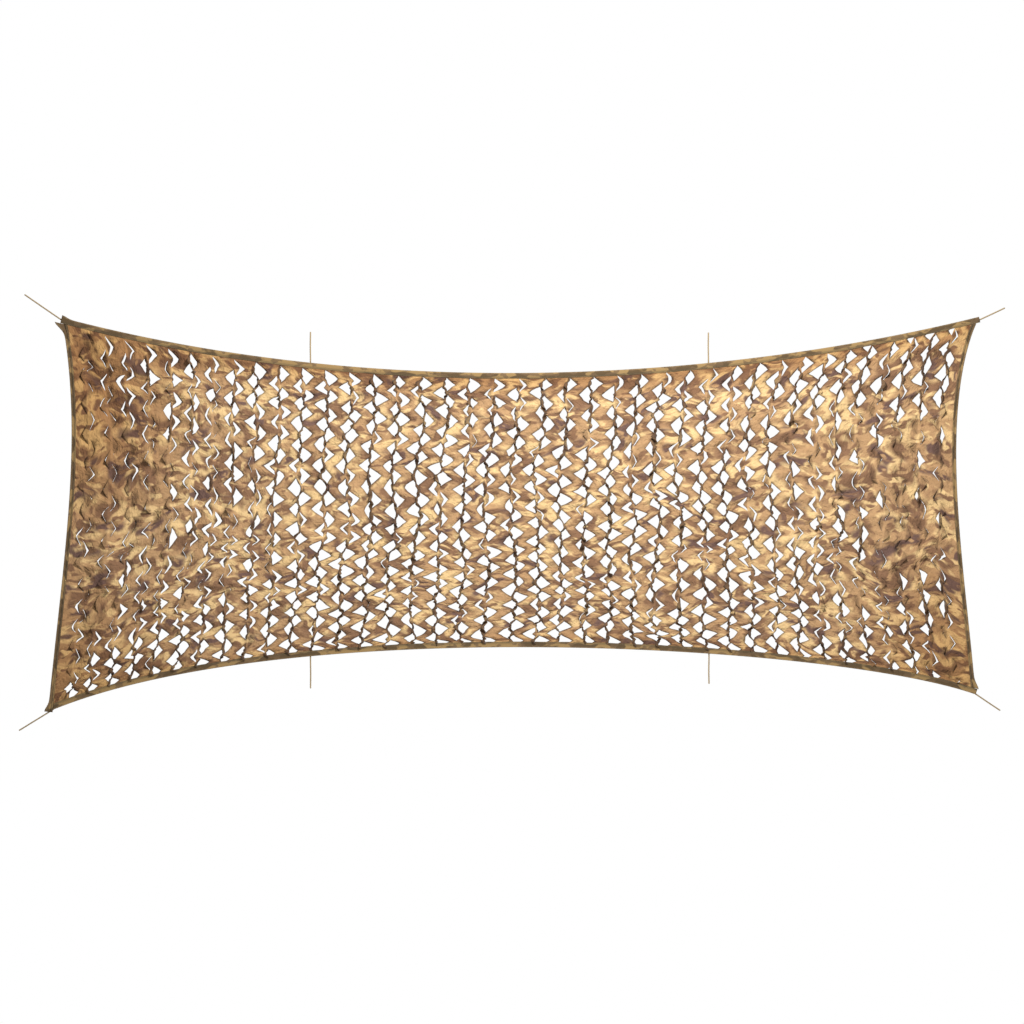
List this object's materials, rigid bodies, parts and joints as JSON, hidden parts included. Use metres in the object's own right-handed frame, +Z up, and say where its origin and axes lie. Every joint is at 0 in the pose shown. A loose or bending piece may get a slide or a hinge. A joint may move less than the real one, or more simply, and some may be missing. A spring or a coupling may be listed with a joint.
{
  "type": "camouflage net",
  "caption": "Incised camouflage net panel with folded edge strips, strung up face on by cords at its corners and along its long edges.",
  "frame": {"origin": "middle of the top edge of the strung net, on the outside of its edge strip", "axes": "+X along the net to the right as seen from the front, +Y through the net away from its front, +Z up"},
  "size_m": [5.2298, 0.0536, 2.3177],
  "materials": {
    "net_cloth": "matte printed oxford cloth in ochre, tan and brown blotches",
    "edge_strip": "matte folded strip of darker olive and khaki print",
    "cord": "matte khaki laid cord"
  },
  "bodies": {
    "root": {"net": "net_cloth", "strip_top": "edge_strip", "strip_right": "edge_strip", "strip_bottom": "edge_strip", "strip_left": "edge_strip", "cord_top_left": "cord", "cord_top_right": "cord", "cord_bottom_left": "cord", "cord_bottom_right": "cord", "cord_top_mid_left": "cord", "cord_top_mid_right": "cord", "cord_bottom_mid_left": "cord", "cord_bottom_mid_right": "cord"}
  },
  "joints": []
}
